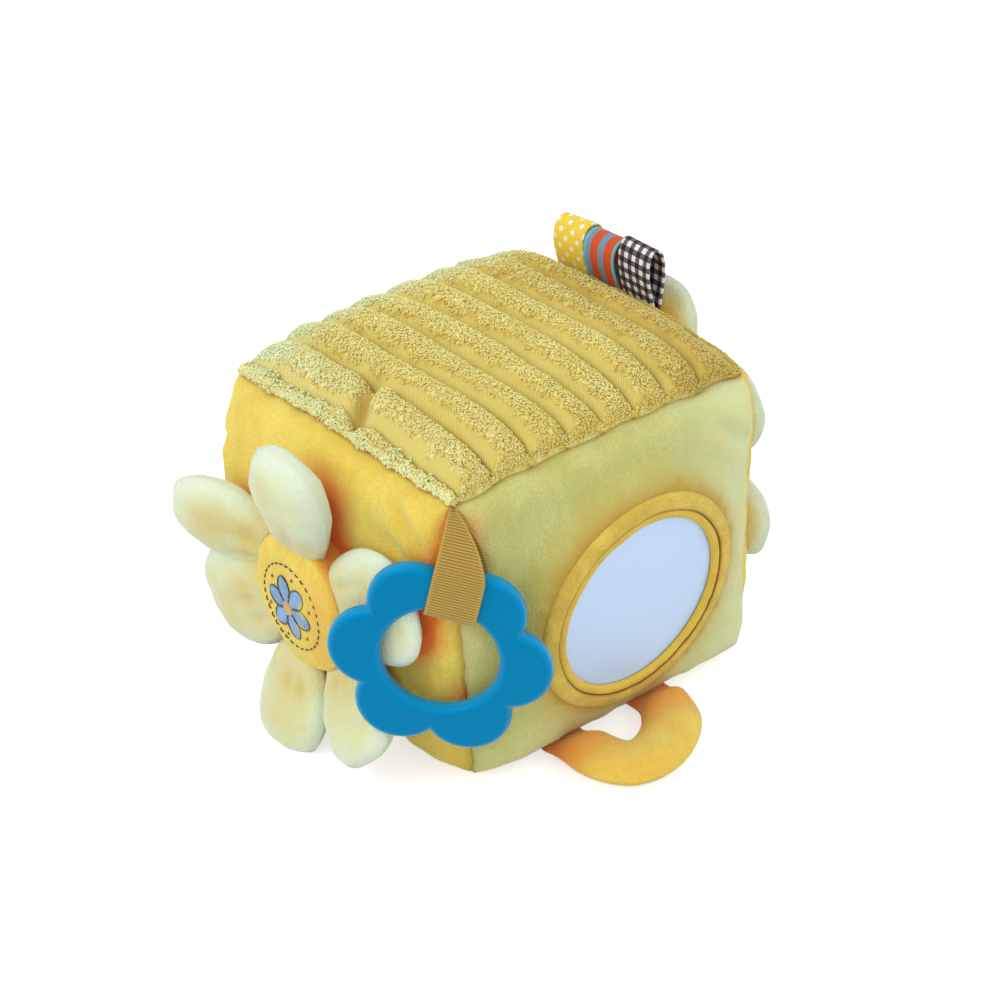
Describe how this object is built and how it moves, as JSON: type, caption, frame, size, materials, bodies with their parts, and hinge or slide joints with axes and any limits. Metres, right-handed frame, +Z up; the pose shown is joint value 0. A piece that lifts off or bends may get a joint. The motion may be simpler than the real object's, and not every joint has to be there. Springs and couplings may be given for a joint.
{
  "type": "soft activity block",
  "caption": "Stuffed fabric cube toy with a ribbed terry top, padded round mirror, stuffed flowers, a lobed ring on a corner ribbon, folded ribbon tags and a stuffed loop handle.",
  "frame": {"origin": "middle of the flat underside that the block stands on", "axes": "+Z up out of the terry top, mirror towards -Y, first flower towards -X, second flower towards +X"},
  "size_m": [0.1983, 0.1721, 0.1462],
  "materials": {
    "fibre": "white polyester fibre fill",
    "lemon_terry": "looped terry plush over a woven ground",
    "golden_velour": "short golden velour",
    "lemon_velour": "short pale lemon velour",
    "petal_velour": "short pale lemon velour, stuffed",
    "golden_felt": "napped golden felt",
    "golden_ribbon": "ribbed golden ribbon",
    "blue_plastic": "smooth moulded blue",
    "mirror": "silvered acrylic sheet",
    "dotted_ribbon": "yellow ribbon with white dots",
    "striped_ribbon": "orange ribbon with blue stripes",
    "gingham_ribbon": "black and white gingham ribbon"
  },
  "bodies": {
    "block": {"fibre_fill": "fibre", "top_terry_panel": "lemon_terry", "flower_panel_left": "golden_velour", "mirror_panel_front": "lemon_velour", "flower_panel_right": "golden_velour", "back_panel": "lemon_velour", "bottom_panel": "golden_velour", "mirror_frame": "golden_felt", "mirror_disc": "mirror", "mirror_backing": "golden_felt", "left_flower_centre": "golden_velour", "right_flower_centre": "golden_velour"},
    "ribbon": {"corner_ribbon": "golden_ribbon"},
    "ring": {"teether_ring": "blue_plastic"},
    "handle": {"handle_loop": "golden_velour"},
    "left_petal_1": {"left_petal_1": "petal_velour"},
    "left_petal_2": {"left_petal_2": "petal_velour"},
    "left_petal_3": {"left_petal_3": "petal_velour"},
    "left_petal_4": {"left_petal_4": "petal_velour"},
    "left_petal_5": {"left_petal_5": "petal_velour"},
    "left_petal_6": {"left_petal_6": "petal_velour"},
    "right_petal_1": {"right_petal_1": "petal_velour"},
    "right_petal_2": {"right_petal_2": "petal_velour"},
    "right_petal_3": {"right_petal_3": "petal_velour"},
    "right_petal_4": {"right_petal_4": "petal_velour"},
    "right_petal_5": {"right_petal_5": "petal_velour"},
    "right_petal_6": {"right_petal_6": "petal_velour"},
    "tag_dotted": {"tag_dotted": "dotted_ribbon"},
    "tag_striped": {"tag_striped": "striped_ribbon"},
    "tag_gingham": {"tag_gingham": "gingham_ribbon"}
  },
  "joints": [
    {"name": "ribbon_swing", "type": "hinge", "parent": "block", "child": "ribbon", "pos_m": [-0.06413, -0.06047, 0.115], "axis": [-0.7071, 0.7071, 0], "range_deg": [0, 120]},
    {"name": "ring_spin", "type": "hinge", "parent": "ribbon", "child": "ring", "pos_m": [-0.07126, -0.05964, 0.06078], "axis": [-0.7071, -0.7071, 0], "continuous": true},
    {"name": "handle_lift", "type": "hinge", "parent": "block", "child": "handle", "pos_m": [-0.004, -0.0607, 0.003], "axis": [-1, 0, 0], "range_deg": [-85, 14], "stiffness_Nm_per_rad": 0.015},
    {"name": "left_petal_1_bend", "type": "hinge", "parent": "block", "child": "left_petal_1", "pos_m": [-0.0795, -0.00181, 0.08246], "axis": [0, -0.9816, -0.1908], "range_deg": [-20, 35], "stiffness_Nm_per_rad": 0.01},
    {"name": "left_petal_2_bend", "type": "hinge", "parent": "block", "child": "left_petal_2", "pos_m": [-0.0795, -0.02183, 0.06653], "axis": [0, -0.0872, -0.9962], "range_deg": [-3, 3], "stiffness_Nm_per_rad": 0.01},
    {"name": "left_petal_3_bend", "type": "hinge", "parent": "block", "child": "left_petal_3", "pos_m": [-0.0795, -0.01516, 0.03877], "axis": [0, 0.8387, -0.5446], "range_deg": [-30, 30], "stiffness_Nm_per_rad": 0.01},
    {"name": "left_petal_4_bend", "type": "hinge", "parent": "block", "child": "left_petal_4", "pos_m": [-0.0795, 0.00608, 0.03268], "axis": [0, 0.9994, -0.0349], "range_deg": [-45, 12], "stiffness_Nm_per_rad": 0.01},
    {"name": "left_petal_5_bend", "type": "hinge", "parent": "block", "child": "left_petal_5", "pos_m": [-0.0795, 0.02395, 0.04567], "axis": [0, 0.4384, 0.8988], "range_deg": [-20, 35], "stiffness_Nm_per_rad": 0.01},
    {"name": "left_petal_6_bend", "type": "hinge", "parent": "block", "child": "left_petal_6", "pos_m": [-0.0795, 0.0249, 0.06735], "axis": [0, -0.3907, 0.9205], "range_deg": [-22, 26], "stiffness_Nm_per_rad": 0.01},
    {"name": "right_petal_1_bend", "type": "hinge", "parent": "block", "child": "right_petal_1", "pos_m": [0.0795, -0.00006, 0.08264], "axis": [0, 0.9976, 0.0698], "range_deg": [-14, 40], "stiffness_Nm_per_rad": 0.01},
    {"name": "right_petal_2_bend", "type": "hinge", "parent": "block", "child": "right_petal_2", "pos_m": [0.0795, -0.02034, 0.06972], "axis": [0, 0.4848, 0.8746], "range_deg": [-8, 40], "stiffness_Nm_per_rad": 0.01},
    {"name": "right_petal_3_bend", "type": "hinge", "parent": "block", "child": "right_petal_3", "pos_m": [0.0795, -0.02252, 0.05055], "axis": [0, -0.2756, 0.9613], "range_deg": [-14, 40], "stiffness_Nm_per_rad": 0.01},
    {"name": "right_petal_4_bend", "type": "hinge", "parent": "block", "child": "right_petal_4", "pos_m": [0.0795, -0.00354, 0.03285], "axis": [0, -0.9781, 0.2079], "range_deg": [-30, 35], "stiffness_Nm_per_rad": 0.01},
    {"name": "right_petal_5_bend", "type": "hinge", "parent": "block", "child": "right_petal_5", "pos_m": [0.0795, 0.021, 0.0413], "axis": [0, -0.6428, -0.766], "range_deg": [-25, 32], "stiffness_Nm_per_rad": 0.01},
    {"name": "right_petal_6_bend", "type": "hinge", "parent": "block", "child": "right_petal_6", "pos_m": [0.0795, 0.02435, 0.06855], "axis": [0, 0.4384, -0.8988], "range_deg": [-17, 38], "stiffness_Nm_per_rad": 0.01},
    {"name": "tag_dotted_bend", "type": "hinge", "parent": "block", "child": "tag_dotted", "pos_m": [0.06452, 0.02977, 0.11841], "axis": [0, 1, 0], "range_deg": [-22, 60], "stiffness_Nm_per_rad": 0.0005},
    {"name": "tag_striped_bend", "type": "hinge", "parent": "block", "child": "tag_striped", "pos_m": [0.06492, 0.01245, 0.1191], "axis": [0, 1, 0], "range_deg": [-20, 60], "stiffness_Nm_per_rad": 0.0005},
    {"name": "tag_gingham_bend", "type": "hinge", "parent": "block", "child": "tag_gingham", "pos_m": [0.06498, -0.00547, 0.11922], "axis": [0, 1, 0], "range_deg": [-28, 55], "stiffness_Nm_per_rad": 0.0005}
  ]
}
